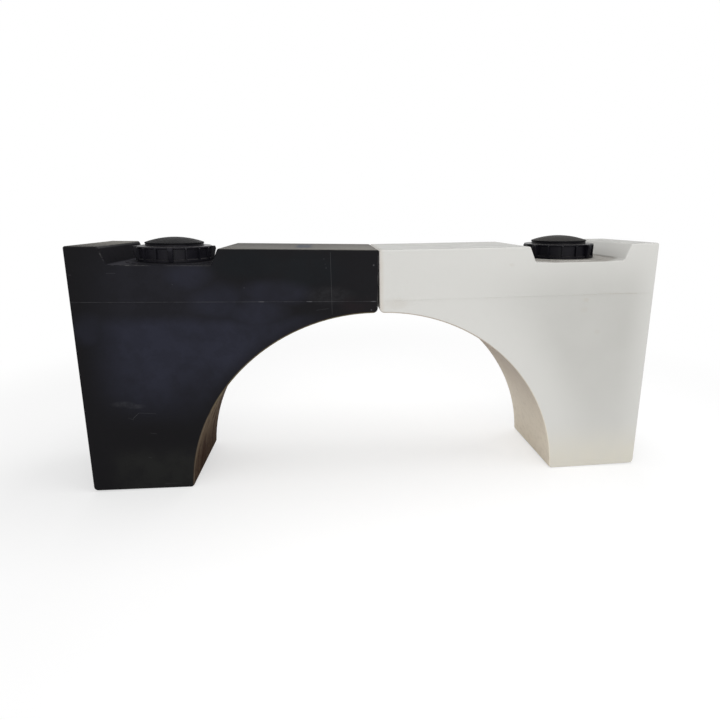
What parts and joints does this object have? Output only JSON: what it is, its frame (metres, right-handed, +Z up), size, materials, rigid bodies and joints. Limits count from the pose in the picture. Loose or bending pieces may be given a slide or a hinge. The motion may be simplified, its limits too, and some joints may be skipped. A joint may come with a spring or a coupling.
{
  "type": "water filled barrier",
  "caption": "Arched water filled barrier of two hollow moulded half-arch tanks standing crown to crown, each with a screwed vented filler lid and a drain plug.",
  "frame": {"origin": "on the ground, under the middle of the seam between the halves", "axes": "+X along the barrier from the black half to the white half, +Y towards its back face, +Z up"},
  "size_m": [1.4204, 0.236, 0.6212],
  "materials": {
    "black_polyethylene": "dull moulded polyethylene, dusty and scuffed",
    "white_polyethylene": "natural translucent polyethylene, slightly waxy",
    "lid_plastic": "semi-gloss black polypropylene",
    "dome_plastic": "semi-gloss black polypropylene",
    "screen_plastic": "matt black",
    "screw_steel": "plain stainless steel",
    "seal_rubber": "matt black rubber",
    "bush_plastic": "matt black polypropylene",
    "plug_plastic": "matt black polypropylene"
  },
  "bodies": {
    "black_half": {"black_tank": "black_polyethylene", "black_drain_bush": "bush_plastic"},
    "black_lid_lift": {"black_lid_gasket": "seal_rubber"},
    "black_lid": {"black_lid": "lid_plastic", "black_vent_dome": "dome_plastic", "black_vent_screen": "screen_plastic", "black_vent_screws": "screw_steel"},
    "black_plug_lift": {"black_drain_washer": "seal_rubber"},
    "black_plug": {"black_drain_plug": "plug_plastic"},
    "white_half": {"white_tank": "white_polyethylene", "white_drain_bush": "bush_plastic"},
    "white_lid_lift": {"white_lid_gasket": "seal_rubber"},
    "white_lid": {"white_lid": "lid_plastic", "white_vent_dome": "dome_plastic", "white_vent_screen": "screen_plastic", "white_vent_screws": "screw_steel"},
    "white_plug_lift": {"white_drain_washer": "seal_rubber"},
    "white_plug": {"white_drain_plug": "plug_plastic"}
  },
  "joints": [
    {"name": "halves_apart", "type": "slide", "parent": "black_half", "child": "white_half", "axis": [1, 0, 0], "range_m": [0, 0.3]},
    {"name": "black_lid_rise", "type": "slide", "parent": "black_half", "child": "black_lid_lift", "axis": [0.014, 0, 0.9999], "range_m": [0, 0.06401]},
    {"name": "black_lid_turn", "type": "hinge", "parent": "black_lid_lift", "child": "black_lid", "pos_m": [-0.49913, 0, 0.59335], "axis": [0.014, 0, 0.9999], "range_deg": [0, 2880]},
    {"name": "black_plug_out", "type": "slide", "parent": "black_half", "child": "black_plug_lift", "axis": [-0.9999, 0, 0.014], "range_m": [0, 0.03501]},
    {"name": "black_plug_turn", "type": "hinge", "parent": "black_plug_lift", "child": "black_plug", "pos_m": [-0.69361, 0, 0.05901], "axis": [-0.9999, 0, 0.014], "range_deg": [0, 2520]},
    {"name": "white_lid_rise", "type": "slide", "parent": "white_half", "child": "white_lid_lift", "axis": [-0.014, 0, 0.9999], "range_m": [0, 0.06401]},
    {"name": "white_lid_turn", "type": "hinge", "parent": "white_lid_lift", "child": "white_lid", "pos_m": [0.49913, 0, 0.59335], "axis": [-0.014, 0, 0.9999], "range_deg": [0, 2880]},
    {"name": "white_plug_out", "type": "slide", "parent": "white_half", "child": "white_plug_lift", "axis": [0.9999, 0, 0.014], "range_m": [0, 0.03501]},
    {"name": "white_plug_turn", "type": "hinge", "parent": "white_plug_lift", "child": "white_plug", "pos_m": [0.69361, 0, 0.05901], "axis": [0.9999, 0, 0.014], "range_deg": [0, 2520]}
  ],
  "couplings": [
    {"joint": "black_lid_rise", "follows": "black_lid_turn", "m_per_rad": 0.0012732},
    {"joint": "black_plug_out", "follows": "black_plug_turn", "m_per_rad": 0.00079577},
    {"joint": "white_lid_rise", "follows": "white_lid_turn", "m_per_rad": 0.0012732},
    {"joint": "white_plug_out", "follows": "white_plug_turn", "m_per_rad": 0.00079577}
  ]
}
